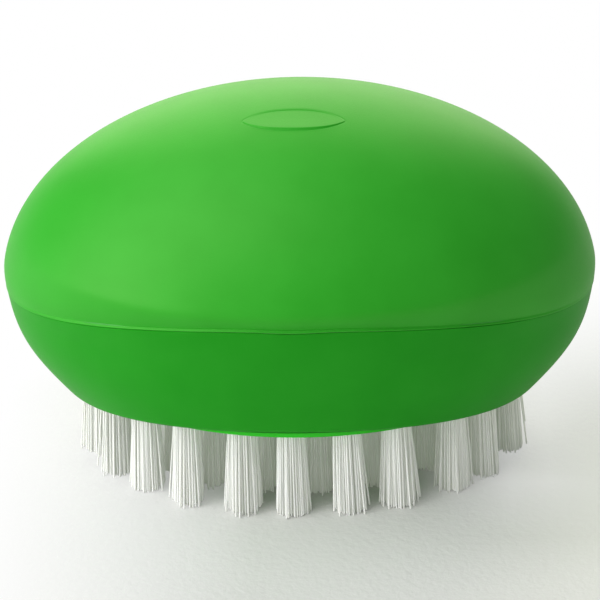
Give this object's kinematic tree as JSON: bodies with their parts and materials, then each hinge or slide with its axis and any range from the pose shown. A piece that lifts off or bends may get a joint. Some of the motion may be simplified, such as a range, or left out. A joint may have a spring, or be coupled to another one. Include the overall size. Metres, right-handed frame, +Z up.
{
  "type": "vegetable brush",
  "caption": "Palm-held oval brush: soft domed cover over a tapering plastic skirt, with tufts of nylon bristles set in rings in a plate underneath.",
  "frame": {"origin": "under the middle of the brush, on the surface that the bristle tips stand on", "axes": "+Z up through the dome, +X along the length, -Y towards the side of the level oval pad"},
  "size_m": [0.0898, 0.0636, 0.0573],
  "materials": {
    "soft_skin": "soft-touch, satin",
    "hidden_plastic": "moulded",
    "skirt_plastic": "satin",
    "plate_plastic": "satin",
    "bristle_nylon": "translucent nylon filament",
    "anchor_wire": "flat wire"
  },
  "bodies": {
    "root": {"anchors": "anchor_wire", "bristle_plate": "plate_plastic", "centre_tuft_01": "bristle_nylon", "centre_tuft_02": "bristle_nylon", "centre_tuft_03": "bristle_nylon", "inner_tuft_01": "bristle_nylon", "inner_tuft_02": "bristle_nylon", "inner_tuft_03": "bristle_nylon", "inner_tuft_04": "bristle_nylon", "inner_tuft_05": "bristle_nylon", "inner_tuft_06": "bristle_nylon", "inner_tuft_07": "bristle_nylon", "inner_tuft_08": "bristle_nylon", "inner_tuft_09": "bristle_nylon", "inner_tuft_10": "bristle_nylon", "lower_shell": "skirt_plastic", "middle_tuft_01": "bristle_nylon", "middle_tuft_02": "bristle_nylon", "middle_tuft_03": "bristle_nylon", "middle_tuft_04": "bristle_nylon", "middle_tuft_05": "bristle_nylon", "middle_tuft_06": "bristle_nylon", "middle_tuft_07": "bristle_nylon", "middle_tuft_08": "bristle_nylon", "middle_tuft_09": "bristle_nylon", "middle_tuft_10": "bristle_nylon", "middle_tuft_11": "bristle_nylon", "middle_tuft_12": "bristle_nylon", "middle_tuft_13": "bristle_nylon", "middle_tuft_14": "bristle_nylon", "middle_tuft_15": "bristle_nylon", "middle_tuft_16": "bristle_nylon", "outer_tuft_01": "bristle_nylon", "outer_tuft_02": "bristle_nylon", "outer_tuft_03": "bristle_nylon", "outer_tuft_04": "bristle_nylon", "outer_tuft_05": "bristle_nylon", "outer_tuft_06": "bristle_nylon", "outer_tuft_07": "bristle_nylon", "outer_tuft_08": "bristle_nylon", "outer_tuft_09": "bristle_nylon", "outer_tuft_10": "bristle_nylon", "outer_tuft_11": "bristle_nylon", "outer_tuft_12": "bristle_nylon", "outer_tuft_13": "bristle_nylon", "outer_tuft_14": "bristle_nylon", "outer_tuft_15": "bristle_nylon", "outer_tuft_16": "bristle_nylon", "outer_tuft_17": "bristle_nylon", "outer_tuft_18": "bristle_nylon", "outer_tuft_19": "bristle_nylon", "outer_tuft_20": "bristle_nylon", "outer_tuft_21": "bristle_nylon", "outer_tuft_22": "bristle_nylon", "upper_cover": "soft_skin", "upper_shell": "hidden_plastic"}
  },
  "joints": []
}
